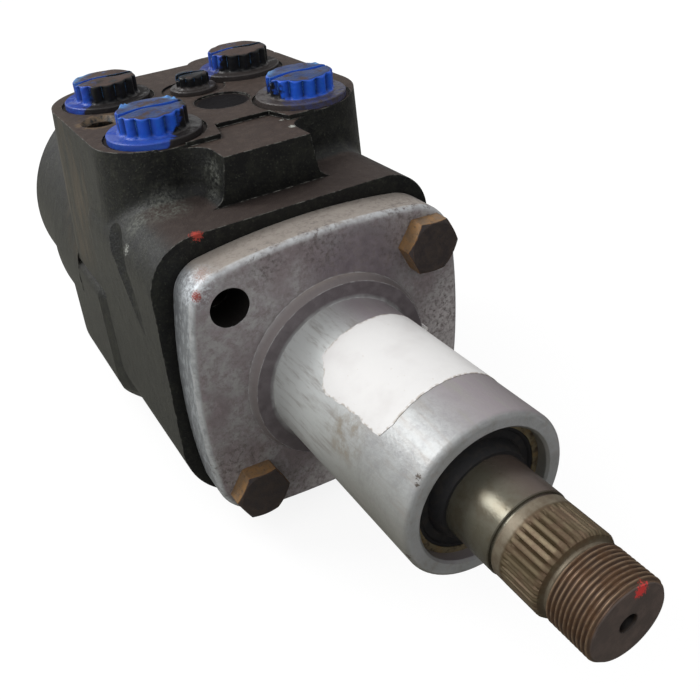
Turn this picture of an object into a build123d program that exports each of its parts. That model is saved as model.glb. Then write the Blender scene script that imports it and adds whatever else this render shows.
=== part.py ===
from build123d import *
from math import cos, pi, radians, sin, sqrt, tan
import os

# Orbital steering unit with its column, in millimetres.
# The frame has X to the right, Y towards the rear along the shaft, and Z up out of the port face.
# The origin is where the shaft axis meets the front face of the column flange.
os.makedirs("parts", exist_ok=True)

# Column flange and its bolts
flange_thick = 11.5
flange_half = 41.9
flange_corner = 38.1
bolt_corner_round = 15.5
open_corner_round = 9.5
flange_rim_round = 2.4
bolt_circle_r = 41.275
bolt_offset = bolt_circle_r / sqrt(2)
open_hole_r = 5.42
bolted_hole_r = 4.98
tapped_hole_r = 4.95
column_bolt_r = 4.7
column_bolt_reach = 20.0
hex_head_flats = 14.29
hex_head_height = 5.2

# Column tube
tube_r = 21.75
tube_front = -62.2
tube_edge_round = 1.4
base_ring_r = 26.6
base_ring_height = 3.0
column_bore_r = 13.0
pocket_r = 17.5
pocket_depth = 23.2
spigot_r = 22.9
spigot_length = 3.5
ring_groove_depth = 1.2

# Running gaps and small clearances
running_gap = 0.03
seat_gap = 0.05
face_gap = 0.06
free_gap = 0.3

# Housing outside
front_left = -45.2
front_right = 39.0
front_top = 45.4
front_bottom = -41.4
front_top_round = 14.0
front_bottom_round = 23.5
front_overlap = 4.0
ledge_fillet = 4.5
valley_r = 8.0
valley_top = (-49.8, 42.0, 41.0)
valley_foot = (-53.2, 25.0, 14.0)
rear_half_width = 46.4
rear_bottom = -46.6
rear_corner_round = 20.5
rear_body_top = 9.0
rear_body_front = 62.0
rear_ramp_length = 11.0
rear_ramp_depth = 3.4
rear_trim_front_r = 51.6
rear_trim_rear_r = 58.0
rear_trim_length = 17.0
rear_body_rear = 112.0
tail_r = 46.6
tail_front = 96.0
housing_rear = 130.0
port_face = 59.9
port_block_front = 36.5
port_block_rear = 114.4
port_block_half = 42.2
port_block_rounds = (16.5, 23.0, 12.0, 21.0)
port_block_foot = 9.5
port_block_draft = 3.0
pad_step = 4.6
saddle_left = -16.3
saddle_right = 9.2
saddle_foot_left = -18.3
saddle_foot_right = 11.6
saddle_front = 22.3
saddle_top = 58.6
saddle_corner = 7.0
saddle_front_spare = 8.0
notch_rear = 45.0
notch_half = 8.5
notch_splay = 3.5

# Ports in the top face
port_left = -24.3
port_right = 22.3
port_front = 50.8
port_back = 93.6
port_bore_r = 10.9
port_bore_depth = 15.0
spot_face_r = 14.7
spot_face_depth = 0.6
drill_r = 4.5
pilot_x = 1.5
pilot_y = 84.5
pilot_bore_r = 5.0
pilot_bore_depth = 12.0
pilot_spot_r = 10.3
dimple_x = 2.8
dimple_y = 65.0
dimple_r = 8.6
side_hole_x = -33.3
side_hole_y = 73.4
side_hole_r = 4.25
side_hole_depth = 14.0
side_hole_mouth_r = 5.7

# Port plugs
cap_r = 9.9
cap_height = 8.0
cap_flange_r = 13.5
cap_flange_thick = 2.0
cap_stub_length = 9.0
cap_flute_count = 16
cap_flute_r = 1.4
cap_flute_set_out = 0.6
cap_slot_width = 2.2
cap_slot_depth = 1.5
cap_wall = 2.5
pilot_cap_r = 5.4
pilot_cap_height = 5.2
pilot_cap_flange_r = 7.4
pilot_cap_flutes = 12
pilot_flute_r = 0.7
pilot_flute_set_out = 0.2
pilot_slot_width = 1.6
pilot_slot_depth = 1.2
pilot_rim_thick = 1.4
pilot_stub_length = 8.0

# Valve spool, sleeve and their pin
main_bore_r = 19.0
sleeve_front = 26.2
sleeve_rear = 129.8
spool_r = 13.5
spool_rear = 122.0
spool_neck_r = 12.0
spool_neck_front = 13.0
spool_socket_rear = 28.0
spool_cavity_front = 38.5
spool_cavity_r = 9.8
spring_station = 33.0
spring_width = 5.6
leaf_thick = 0.6
leaf_count = 4
pin_station = 46.0
pin_r = 3.0
deflection = 8.0
groove_stations = (56.0, 66.0, 76.0, 86.0, 96.0, 106.0)
groove_width = 4.0
groove_depth = 1.2
hole_row_r = 1.5
hole_row_count = 6

# Shaft seal and thrust bearing in the front of the housing
counterbore_r = 23.0
counterbore_depth = 9.5
bushing_front = 15.2
race_thick = 1.4
needle_r = 1.0
needle_count = 20
thrust_inner_r = 12.6
thrust_outer_r = 18.6

# Input shaft
shaft_end = -100.9
thread_r = 9.8
thread_rear = -89.6
thread_neck_r = 8.9
serration_r = 10.55
serration_root_r = 9.85
serration_count = 36
serration_rear = -75.9
serration_end = -78.6
serration_fade = 2.6
shaft_groove_r = 10.1
shaft_groove_width = 0.8
shaft_r = 10.8
bearing_seat_r = 10.0
shaft_core_r = 9.0
shaft_spline_r = 8.6
shaft_spline_root_r = 7.4
shaft_spline_count = 12
shaft_rear = 27.0

# Column bearing and seal
bearing_front = -51.0
bearing_width = 10.0
ball_r = 2.6
ball_count = 9
race_wall = 2.0
cage_wall = 0.9
cage_side = 0.8
seal_front = -59.0
seal_depth = 6.0
lip_front = -61.9

# Gerotor set
gerotor_r = 43.7
wear_plate_thick = 3.5
gerotor_width = 24.0
end_cap_thick = 13.4
lobe_count = 7
lobe_pitch_r = 28.0
lobe_r = 8.5
eccentricity = 3.0
lobe_gap = 0.08
star_points_per_lobe = 20
star_point_crowding = 0.85
star_spline_r = 9.6
star_spline_root_r = 8.2
star_spline_count = 12
cap_screw_circle_r = 36.2
cap_screw_r = 3.9
cap_screw_hole_r = 4.3
cap_screw_tapped_r = 4.1
cap_screw_reach = 22.0
cap_screw_head_r = 5.6
cap_screw_head_height = 5.0
cap_counterbore_depth = 6.2
washer_thick = 1.2
seal_ring_r = 29.4
seal_ring_section = 0.84

# Drive link
link_front = 40.4
link_fork_r = 7.4
link_waist_r = 5.2
link_spline_length = 12.0
link_tooth_gap = 0.5
fork_gap = 0.3
spacer_r = 7.7
spacer_thick = 4.0

# Check valve under the front left port
check_bore_r = 4.6
check_bore_bottom = 27.0
check_seat_top = 32.0
check_ball_r = 3.2
check_seat_hole_r = 2.4
check_keeper_bottom = 39.0
check_lift = 1.5

# Stations that follow from the sizes above
bearing_rear = bearing_front + bearing_width
ring_front = housing_rear + wear_plate_thick
ring_rear = ring_front + gerotor_width
cap_rear = ring_rear + end_cap_thick
star_middle = (ring_front + ring_rear) / 2
link_tilt = eccentricity / (star_middle - pin_station)
bushing_rear = flange_thick + counterbore_depth
race_rear_front = sleeve_front - face_gap - race_thick
sleeve_r = main_bore_r - running_gap
spool_outer_r = spool_r - running_gap
ball_circle_r = (bearing_seat_r + pocket_r) / 2
port_places = {
    "front_left": (port_left, port_front),
    "front_right": (port_right, port_front),
    "back_left": (port_left, port_back),
    "back_right": (port_right, port_back),
}
screw_angles = [360 / lobe_count * k for k in range(lobe_count)]


def slab(sketch, front, rear):
    """Sketch in X and Z, made solid from the front station to the rear one."""
    return extrude(Plane.XZ.offset(-rear) * sketch, amount=rear - front)


def rod(radius, front, rear, x=0.0, z=0.0):
    """Round bar along Y."""
    return slab(Pos(x, z) * Circle(radius), front, rear)


def tube(outer, inner, front, rear):
    """Round tube along Y."""
    return slab(Circle(outer) - Circle(inner), front, rear)


def turned(points):
    """Profile of radius and station pairs, turned about the shaft axis."""
    profile = make_face(Polyline(*points, close=True))
    return revolve(profile, axis=Axis.Y)


def post(radius, bottom, top, x, y):
    """Round bar along Z."""
    return Pos(x, y, (bottom + top) / 2) * Cylinder(radius, top - bottom)


def block(x0, x1, y0, y1, z0, z1):
    """Plain block between two corners."""
    size = Box(x1 - x0, y1 - y0, z1 - z0)
    return Pos((x0 + x1) / 2, (y0 + y1) / 2, (z0 + z1) / 2) * size


def around(angle):
    """Turn about the shaft axis, from X towards Z."""
    return Rot(0, -angle, 0)


def seal_ring(centre_r, station, section):
    """Round section ring about the shaft axis."""
    return revolve(Pos(centre_r, station) * Circle(section), axis=Axis.Y)


def toothed(outer, root, count, share=0.5):
    """Outline of a shaft with straight teeth; share is the tooth's part of the pitch."""
    half = pi * (outer + root) / 2 / count * share
    outline = Circle(root)
    for k in range(count):
        tooth = Pos((outer + root / 2) / 2, 0) * Rectangle(outer - root / 2, 2 * half)
        outline += Rot(0, 0, 360 / count * k) * tooth
    return outline & Circle(outer)


def serrated(outer, root, count):
    """Outline of a shaft with sharp V serrations."""
    points = []
    for k in range(2 * count):
        reach = outer if k % 2 == 0 else root
        points.append((reach * cos(pi * k / count), reach * sin(pi * k / count)))
    return make_face(Polyline(*points, close=True))


def rounded(left, right, top, bottom, top_round, bottom_round):
    """Upright section with its own rounding at the top and at the bottom."""
    shape = Pos((left + right) / 2, (top + bottom) / 2) * Rectangle(right - left, top - bottom)
    shape = fillet(shape.vertices().group_by(Axis.Y)[-1], top_round)
    return fillet(shape.vertices().group_by(Axis.Y)[0], bottom_round)


def flange_outline():
    """Square with bulging sides and round corners."""
    c = flange_corner
    h = flange_half
    sides = [
        ThreePointArc((-c, c), (0, h), (c, c)),
        ThreePointArc((c, c), (h, 0), (c, -c)),
        ThreePointArc((c, -c), (0, -h), (-c, -c)),
        ThreePointArc((-c, -c), (-h, 0), (-c, c)),
    ]
    shape = make_face(sides)
    bolted = [v for v in shape.vertices() if v.X * v.Y > 0]
    shape = fillet(bolted, bolt_corner_round)
    open_corners = [v for v in shape.vertices() if abs(abs(v.X) - c) < 0.01 and abs(abs(v.Y) - c) < 0.01]
    return fillet(open_corners, open_corner_round)


def open_places():
    """The two open flange holes, top left and bottom right as seen from the shaft."""
    return [(-bolt_offset, bolt_offset), (bolt_offset, -bolt_offset)]


def bolted_places():
    """The two flange holes that hold the hex bolts, top right and bottom left."""
    return [(bolt_offset, bolt_offset), (-bolt_offset, -bolt_offset)]


def make_column():
    flange = slab(flange_outline(), 0, flange_thick)
    flange = fillet(flange.faces().sort_by(Axis.Y)[0].edges(), flange_rim_round)
    body = turned([
        (0, tube_front),
        (tube_r, tube_front),
        (tube_r, -base_ring_height),
        (base_ring_r, -base_ring_height),
        (base_ring_r + 1.2, 0),
        (base_ring_r + 1.2, flange_thick),
        (spigot_r, flange_thick),
        (spigot_r, flange_thick + spigot_length),
        (0, flange_thick + spigot_length),
    ])
    end_edge = body.edges().filter_by(GeomType.CIRCLE).sort_by(Axis.Y)[0]
    body = fillet(end_edge, tube_edge_round)
    inside = turned([
        (0, tube_front - 1),
        (pocket_r + 1.6, tube_front - 1),
        (pocket_r, tube_front + 0.6),
        (pocket_r, tube_front + pocket_depth),
        (column_bore_r, tube_front + pocket_depth),
        (column_bore_r, flange_thick + spigot_length + 1),
        (0, flange_thick + spigot_length + 1),
    ])
    column = flange + body - inside
    for x, z in open_places():
        column -= rod(open_hole_r, -1, flange_thick + 1, x, z)
    for x, z in bolted_places():
        column -= rod(bolted_hole_r, -1, flange_thick + 1, x, z)
    groove_middle = flange_thick + spigot_length / 2
    groove = tube(spigot_r + 1, spigot_r - ring_groove_depth, groove_middle - 0.9, groove_middle + 0.9)
    return column - groove


def make_column_ring():
    middle = flange_thick + spigot_length / 2
    return tube(spigot_r, spigot_r - ring_groove_depth, middle - 0.85, middle + 0.85)


def make_column_bolts():
    """Two hex bolts with a bevelled head."""
    bolts = []
    for x, z in bolted_places():
        head = slab(RegularPolygon(hex_head_flats / sqrt(3), 6), -hex_head_height, 0)
        bevel = turned([
            (0, -hex_head_height),
            (hex_head_flats / 2 - 0.2, -hex_head_height),
            (hex_head_flats / 2 + 1.6, -hex_head_height + 1.0),
            (hex_head_flats / 2 + 1.6, 0),
            (0, 0),
        ])
        shank = rod(column_bolt_r, 0, flange_thick + column_bolt_reach - 4)
        bolt = around(-3) * (head & bevel) + shank
        bolts.append(Pos(x, 0, z) * bolt)
    return bolts


def port_block_outline(grow):
    """Outline of the port face, with a rounding of its own round each port, grown by a margin."""
    half = port_block_half + grow
    front = port_block_front - grow
    rear = port_block_rear + grow
    corners = ((-half, front), (half, front), (half, rear), (-half, rear))
    rounds = [r + grow for r in port_block_rounds]
    return make_face(FilletPolyline(*corners, radius=rounds, close=True))


def port_block():
    """Top block that tapers outwards to its foot, with the longer pad behind the back right port."""
    foot = Plane.XY.offset(port_block_foot) * port_block_outline(port_block_draft)
    body = loft([foot, Plane.XY.offset(port_face) * port_block_outline(0)])
    pad_width = port_block_half - pilot_x - 9.0
    pad = Pos(port_block_half - pad_width / 2, port_block_rear - 10 + pad_step) * RectangleRounded(
        pad_width, 20, 9
    )
    return body + extrude(Plane.XY.offset(port_block_foot + 14) * pad, port_face - port_block_foot - 14)


def saddle():
    """Low bridge between the front ports, cast with spare length in front of its machined face."""
    foot = front_top - 1
    outline = Plane.XZ * make_face(Polyline(
        (saddle_left, saddle_top),
        (saddle_right, saddle_top),
        (saddle_foot_right, foot),
        (saddle_foot_left, foot),
        close=True,
    ))
    rear = port_block_front + saddle_corner + 1
    front = saddle_front - saddle_front_spare
    return Pos(0, rear, 0) * extrude(outline, rear - front)


def saddle_face_cut():
    """What is milled off in front of the bridge, down to the ledge."""
    return block(front_left, front_right, flange_thick - 1, saddle_front, front_top, saddle_top + 1)


def saddle_cut():
    """Step in the port face above the bridge, narrower at its back."""
    front = notch_half + notch_splay
    outline = make_face(Polyline(
        (-front, port_block_front - 6),
        (front, port_block_front - 6),
        (notch_half, notch_rear),
        (-notch_half, notch_rear),
        close=True,
    ))
    return extrude(Plane.XY.offset(saddle_top) * outline, port_face - saddle_top + 1)


def port_cuts():
    """Ports, their spot faces and the passages down to the sleeve bore."""
    cuts = []
    for x, y in port_places.values():
        side = 1 if x > 0 else -1
        cuts.append(post(port_bore_r, port_face - port_bore_depth, port_face + 1, x, y))
        cuts.append(post(spot_face_r, port_face - spot_face_depth, port_face + 1, x, y))
        top = port_face - port_bore_depth + 1
        if (x, y) == port_places["front_left"]:
            cuts.append(post(check_bore_r, check_bore_bottom, top, x, y))
            top = check_bore_bottom + 3
        start = Vector(x, y, top)
        end = Vector(side * 11.0, y, 12.0)
        line = end - start
        plane = Plane(origin=start, z_dir=line.normalized())
        cuts.append(extrude(plane * Circle(drill_r), line.length))
    cuts.append(post(pilot_bore_r, port_face - pilot_bore_depth, port_face + 1, pilot_x, pilot_y))
    cuts.append(post(2.0, 10, port_face, pilot_x, pilot_y))
    cuts.append(post(pilot_spot_r, port_face - spot_face_depth, port_face + 1, pilot_x, pilot_y))
    cuts.append(post(dimple_r, port_face - spot_face_depth, port_face + 1, dimple_x, dimple_y))
    bottom = port_face - side_hole_depth
    cuts.append(post(side_hole_r, bottom, port_face + 1, side_hole_x, side_hole_y))
    mouth = side_hole_mouth_r - side_hole_r
    cone = Cone(side_hole_r, side_hole_mouth_r, mouth)
    cuts.append(Pos(side_hole_x, side_hole_y, port_face - mouth / 2) * cone)
    return cuts


def front_body():
    """Front plate that runs back into the rear body, with the casting valley on its left side."""
    body = slab(
        rounded(front_left, front_right, front_top, front_bottom, front_top_round, front_bottom_round),
        flange_thick,
        rear_body_front + front_overlap,
    )
    run = Vector(*valley_foot) - Vector(*valley_top)
    start = Vector(*valley_top) - run * 0.3
    valley = extrude(Plane(origin=start, z_dir=run.normalized()) * Circle(valley_r), 1.6 * run.length)
    return body - valley


def rear_body():
    """Wide lower body behind, with a sloped front and its low corners trimmed by a cone."""
    body = slab(
        rounded(-rear_half_width, rear_half_width, rear_body_top, rear_bottom, 5, rear_corner_round),
        rear_body_front,
        rear_body_rear,
    )
    face = body.faces().sort_by(Axis.Y)[0]
    body = chamfer(face.edges(), rear_ramp_depth, rear_ramp_length, reference=face)
    trim_rear = rear_body_front + rear_trim_length
    limit = turned([
        (0, rear_body_front),
        (rear_trim_front_r, rear_body_front),
        (rear_trim_rear_r, trim_rear),
        (1.2 * rear_trim_rear_r, trim_rear),
        (1.2 * rear_trim_rear_r, rear_body_rear),
        (0, rear_body_rear),
    ])
    return body & limit


def outer_casting():
    """Everything that is cast in one piece, with fillets where ledge, bridge and port block meet."""
    body = front_body() + port_block() + saddle()
    body = fillet([e for e in body.edges() if is_saddle_corner(e)], saddle_corner)
    body = fillet([e for e in body.edges() if is_ledge_edge(e)], ledge_fillet)
    body -= saddle_face_cut()
    tail = rod(tail_r, tail_front, housing_rear)
    tail = fillet(tail.edges().sort_by(Axis.Y)[-1], 1.0)
    return body + rear_body() + tail


def beside_saddle(x, reach):
    """True within a reach of the bridge's two sides, or between them."""
    return saddle_foot_left - reach < x < saddle_foot_right + reach


def is_saddle_corner(edge):
    """True for the upright corner between the bridge's side and the front wall of the port block."""
    middle = edge.center()
    upright = edge.bounding_box().size.Z > (saddle_top - front_top) / 2
    at_wall = abs(middle.Y - port_block_front) < port_block_draft
    return upright and at_wall and beside_saddle(middle.X, 2)


def is_ledge_edge(edge):
    """True for the edge between the ledge and the port block's front wall or the bridge's sides."""
    middle = edge.center()
    level = edge.bounding_box().size.Z < 0.1 and abs(middle.Z - front_top) < 0.05
    at_wall = port_block_front - port_block_draft < middle.Y < port_block_front + 12
    at_side = middle.Y > saddle_front - saddle_front_spare + 1 and beside_saddle(middle.X, saddle_corner + 2)
    return level and (at_wall or at_side)


def make_housing():
    body = outer_casting() - saddle_cut()
    body -= rod(main_bore_r, flange_thick - 1, housing_rear + 1)
    body -= rod(counterbore_r, flange_thick - 1, flange_thick + counterbore_depth)
    for cut in port_cuts():
        body -= cut
    for x, z in open_places() + bolted_places():
        body -= rod(tapped_hole_r, flange_thick - 1, flange_thick + column_bolt_reach, x, z)
    for angle in screw_angles:
        hole = rod(cap_screw_tapped_r, housing_rear - cap_screw_reach, housing_rear + 1, cap_screw_circle_r)
        body -= around(angle) * hole
    body -= ring_groove(housing_rear - 2 * seal_ring_section, housing_rear + 1)
    return body


def ring_groove(front, rear):
    """Groove for a face seal ring of the gerotor set."""
    return tube(seal_ring_r + 1.1, seal_ring_r - 1.1, front, rear)


def make_port_plug(place):
    """Plastic plug with a fluted head, a slot and a stub in the port."""
    x, y = port_places[place]
    base = port_face - spot_face_depth
    outline = fluted(cap_r, cap_flute_count, cap_flute_r, cap_flute_set_out)
    head = extrude(outline, port_face + cap_height - base)
    head -= Pos(0, 0, port_face + cap_height - base) * Box(3 * cap_r, cap_slot_width, 2 * cap_slot_depth)
    rim = Pos(0, 0, cap_flange_thick / 2) * Cylinder(cap_flange_r, cap_flange_thick)
    stub = Pos(0, 0, -cap_stub_length / 2) * Cylinder(port_bore_r - seat_gap, cap_stub_length)
    bore = Pos(0, 0, -cap_stub_length / 2) * Cylinder(port_bore_r - cap_wall, cap_stub_length)
    return Pos(x, y, base) * (head + rim + stub - bore)


def fluted(radius, count, flute, set_out):
    """Round outline with round flutes cut into it, their centres set out past the outline."""
    outline = Circle(radius)
    for k in range(count):
        outline -= Rot(0, 0, 360 / count * k) * (Pos(radius + set_out, 0) * Circle(flute))
    return outline


def make_pilot_plug():
    base = port_face - spot_face_depth
    height = pilot_cap_height + spot_face_depth
    head = extrude(fluted(pilot_cap_r, pilot_cap_flutes, pilot_flute_r, pilot_flute_set_out), height)
    head -= Pos(0, 0, height) * Box(3 * pilot_cap_r, pilot_slot_width, 2 * pilot_slot_depth)
    rim = Pos(0, 0, pilot_rim_thick / 2) * Cylinder(pilot_cap_flange_r, pilot_rim_thick)
    stub = Pos(0, 0, -pilot_stub_length / 2) * Cylinder(pilot_bore_r - seat_gap, pilot_stub_length)
    return Pos(pilot_x, pilot_y, base) * (head + rim + stub)


def make_input_shaft():
    core = turned([
        (0, shaft_end),
        (thread_r - 1.2, shaft_end),
        (thread_r, shaft_end + 1.2),
        (thread_r, thread_rear - 0.8),
        (thread_neck_r, thread_rear),
        (thread_neck_r, thread_rear + 0.7),
        (serration_root_r - 0.3, thread_rear + 1.2),
        (serration_root_r - 0.3, serration_end - serration_fade),
        (serration_r - 0.02, serration_end),
        (serration_r - 0.02, serration_rear),
        (shaft_groove_r, serration_rear),
        (shaft_groove_r, serration_rear + shaft_groove_width),
        (shaft_r, serration_rear + shaft_groove_width),
        (shaft_r, bearing_front - 2.4),
        (bearing_seat_r, bearing_front - 2.4),
        (bearing_seat_r, bearing_rear + 2.2),
        (shaft_core_r, bearing_rear + 4.0),
        (shaft_core_r, spool_neck_front - 2),
        (shaft_spline_root_r, spool_neck_front - 1),
        (shaft_spline_root_r, shaft_rear),
        (0, shaft_rear),
    ])
    teeth = slab(
        serrated(serration_r, serration_root_r, serration_count),
        thread_rear + 1.0,
        serration_end,
    )
    limit = turned([
        (0, thread_rear + 1.0),
        (serration_root_r - 0.2, thread_rear + 1.0),
        (serration_r, thread_rear + 1.7),
        (serration_r, serration_end),
        (0, serration_end),
    ])
    spline = slab(
        toothed(shaft_spline_r, shaft_spline_root_r - 0.2, shaft_spline_count),
        spool_neck_front - 0.5,
        shaft_rear,
    )
    centre = Pos(0, shaft_end, 0) * Rot(-90, 0, 0) * Cone(2.6, 0.9, 4.0)
    groove = tube(shaft_r, bearing_seat_r - 0.7, bearing_rear + 0.2, bearing_rear + 1.5)
    return core + (teeth & limit) + spline - centre - groove


def make_snap_ring():
    """Open ring that holds the inner race on the shaft."""
    ring = tube(bearing_seat_r + 1.3, bearing_seat_r - 0.7, bearing_rear + 0.25, bearing_rear + 1.45)
    gap = block(-1.6, 1.6, bearing_rear, bearing_rear + 2, 5, 15)
    return ring - gap


def make_bearing_outer_race():
    race = tube(pocket_r - 0.02, pocket_r - race_wall, bearing_front, bearing_rear)
    middle = (bearing_front + bearing_rear) / 2
    return race - seal_ring(ball_circle_r, middle, ball_r + 0.08)


def make_bearing_inner_race():
    race = tube(bearing_seat_r + race_wall, bearing_seat_r + 0.01, bearing_front, bearing_rear)
    middle = (bearing_front + bearing_rear) / 2
    return race - seal_ring(ball_circle_r, middle, ball_r + 0.08)


def bearing_balls():
    middle = (bearing_front + bearing_rear) / 2
    ball = Pos(ball_circle_r, middle, 0) * Sphere(ball_r)
    return [around(360 / ball_count * k) * ball for k in range(ball_count)]


def make_bearing_cage():
    middle = (bearing_front + bearing_rear) / 2
    half = ball_r + cage_side
    cage = tube(ball_circle_r + cage_wall, ball_circle_r - cage_wall, middle - half, middle + half)
    for k in range(ball_count):
        pocket = Pos(ball_circle_r, middle, 0) * Rot(0, 90, 0) * Cylinder(ball_r + lobe_gap, 6 * cage_wall)
        cage -= around(360 / ball_count * k) * pocket
    return cage


def make_bearing_spacer():
    """Sleeve that holds the outer race against its shoulder, behind the seal."""
    return tube(pocket_r - 0.03, pocket_r - 2.4, seal_front + seal_depth, bearing_front)


def make_seal_case():
    shell = turned([
        (pocket_r - 0.02, seal_front),
        (pocket_r - 0.02, seal_front + seal_depth),
        (shaft_r + 2.2, seal_front + seal_depth),
        (shaft_r + 2.2, seal_front + seal_depth - 1.0),
        (pocket_r - 1.6, seal_front + seal_depth - 1.0),
        (pocket_r - 1.6, seal_front),
    ])
    return shell


def make_seal_lip():
    inner = shaft_r + running_gap
    outer = pocket_r - 1.65
    return turned([
        (outer, seal_front + 0.2),
        (outer, seal_front + seal_depth - 1.05),
        (inner + 1.2, seal_front + seal_depth - 1.05),
        (inner, seal_front + 3.0),
        (inner, lip_front),
        (inner + 0.8, lip_front),
        (inner + 2.2, seal_front + 0.6),
        (outer - 1.0, seal_front + 0.6),
        (outer - 0.6, seal_front + 0.2),
    ])


def make_shaft_bushing():
    """Ring in the front counterbore that carries the spool neck seal."""
    bushing = tube(counterbore_r - seat_gap, spool_neck_r + free_gap, bushing_front, bushing_rear)
    groove = tube(spool_neck_r + 2.4, spool_neck_r, bushing_front + 1.6, bushing_front + 4.2)
    return bushing - groove


def make_neck_seal():
    ring = tube(spool_neck_r + 2.3, spool_neck_r + running_gap, bushing_front + 1.7, bushing_front + 4.1)
    return ring


def thrust_race(front):
    return tube(thrust_outer_r, thrust_inner_r, front, front + race_thick)


def make_thrust_race_front():
    return thrust_race(bushing_rear)


def make_thrust_race_rear():
    return thrust_race(race_rear_front)


def make_thrust_needles():
    """Cage ring with radial needles between the two races."""
    middle = (bushing_rear + race_thick + race_rear_front) / 2
    cage = tube(thrust_outer_r - 0.4, thrust_inner_r + 0.4, middle - 0.5, middle + 0.5)
    length = thrust_outer_r - thrust_inner_r - 2.0
    radius = (thrust_outer_r + thrust_inner_r) / 2
    for k in range(needle_count):
        needle = Pos(radius, middle, 0) * Rot(0, 90, 0) * Cylinder(needle_height() / 2, length)
        cage += around(360 / needle_count * k) * needle
    return cage


def needle_height():
    """Room between the thrust races, less a running gap on each side."""
    return race_rear_front - bushing_rear - race_thick - 2 * face_gap


def make_valve_sleeve():
    sleeve = tube(sleeve_r, spool_r, sleeve_front, sleeve_rear)
    for station in groove_stations:
        low = station - groove_width / 2
        sleeve -= tube(sleeve_r + 1, sleeve_r - groove_depth, low, low + groove_width)
        drill = Pos(0, station, 0) * Cylinder(hole_row_r, 2 * sleeve_r + 2)
        for k in range(hole_row_count // 2):
            sleeve -= around(180 / (hole_row_count // 2) * k + 15) * drill
    sleeve -= Pos(0, pin_station, 0) * Rot(0, 90, 0) * Cylinder(pin_r + 0.01, 2 * sleeve_r + 2)
    slot_high = leaf_count * leaf_thick + 0.6
    slot_wide = spring_width + 0.4
    sleeve -= Pos(0, spring_station, 0) * Box(2 * sleeve_r + 2, slot_wide, slot_high)
    return sleeve


def make_valve_spool():
    """Hollow spool: spline socket in front, cavity for the drive link behind."""
    spool = turned([
        (0, spool_neck_front),
        (spool_neck_r, spool_neck_front),
        (spool_neck_r, sleeve_front),
        (spool_outer_r, sleeve_front),
        (spool_outer_r, spool_rear),
        (spool_cavity_r, spool_rear),
        (spool_cavity_r, spool_cavity_front),
        (0, spool_cavity_front),
    ])
    socket = toothed(
        shaft_spline_r + 0.15, shaft_spline_root_r, shaft_spline_count, 0.6
    )
    spool -= slab(socket, spool_neck_front - 1, spool_socket_rear)
    for k, station in enumerate(groove_stations):
        centre = station + 5.0
        for j in range(6):
            slot = Pos(spool_outer_r, centre, 0) * Box(2.4, 8.0, 2.6)
            spool -= around(60 * j + 30 * (k % 2)) * slot
    swing = 2 * spool_outer_r * tan(radians(deflection + 1))
    pin_slot = Box(2 * spool_outer_r + 2, 2 * pin_r + 0.6, 2 * pin_r + swing)
    spool -= Pos(0, pin_station, 0) * pin_slot
    spring_slot = Box(2 * spool_outer_r + 2, spring_width + 0.8, leaf_count * leaf_thick + swing)
    return spool - Pos(0, spring_station, 0) * spring_slot


def make_cross_pin():
    pin = Cylinder(pin_r, 2 * sleeve_r - 1.2)
    pin = chamfer(pin.edges(), 0.5)
    return Pos(0, pin_station, 0) * Rot(0, 90, 0) * pin


def make_centering_springs():
    """Pack of flat and bowed leaves across the spool and the sleeve."""
    leaves = []
    length = 2 * sleeve_r - 2.0
    for k in range(leaf_count):
        height = (k - (leaf_count - 1) / 2) * (leaf_thick + 0.04)
        leaf = Box(length, spring_width, leaf_thick)
        leaves.append(Pos(0, spring_station, height) * leaf)
    return leaves


def make_wear_plate():
    plate = tube(gerotor_r, spool_r, housing_rear, ring_front)
    for angle in screw_angles:
        plate -= around(angle) * rod(cap_screw_hole_r, housing_rear - 1, ring_front + 1, cap_screw_circle_r)
    return plate - ring_groove(ring_front - 2 * seal_ring_section, ring_front + 1)


def make_gerotor_ring():
    """Fixed outer gear: seven round lobes that stand into a round pocket."""
    pocket_radius = lobe_pitch_r - lobe_r + 2 * eccentricity + 0.2
    outline = Circle(gerotor_r) - Circle(pocket_radius)
    for angle in screw_angles:
        outline += Rot(0, 0, angle) * (Pos(lobe_pitch_r, 0) * Circle(lobe_r))
    for angle in screw_angles:
        outline -= Rot(0, 0, angle) * (Pos(cap_screw_circle_r, 0) * Circle(cap_screw_hole_r))
    return slab(outline, ring_front, ring_rear)


def star_outline():
    """Inner gear: the path of a ring lobe's centre seen from the star, moved inwards by the lobe."""
    inner = lobe_count - 1
    inset = lobe_r + lobe_gap
    points = []
    total = star_points_per_lobe * inner
    for k in range(total):
        even = 2 * pi * k / total
        a = even - star_point_crowding * sin(inner * even) / inner
        px = lobe_pitch_r * cos(a) - eccentricity * cos(lobe_count * a)
        py = lobe_pitch_r * sin(a) - eccentricity * sin(lobe_count * a)
        tx = -lobe_pitch_r * sin(a) + lobe_count * eccentricity * sin(lobe_count * a)
        ty = lobe_pitch_r * cos(a) - lobe_count * eccentricity * cos(lobe_count * a)
        length = sqrt(tx * tx + ty * ty)
        points.append((px - inset * ty / length, py + inset * tx / length))
    return make_face(Spline(*points, periodic=True))


def make_gerotor_star():
    socket = toothed(star_spline_r, star_spline_root_r, star_spline_count, 0.62)
    outline = star_outline() - socket
    star = slab(outline, ring_front + face_gap, ring_rear - face_gap)
    return Pos(eccentricity, 0, 0) * star


def make_drive_spacer():
    disc = rod(spacer_r, ring_rear - face_gap - spacer_thick, ring_rear - face_gap)
    return Pos(eccentricity, 0, 0) * disc


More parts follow.
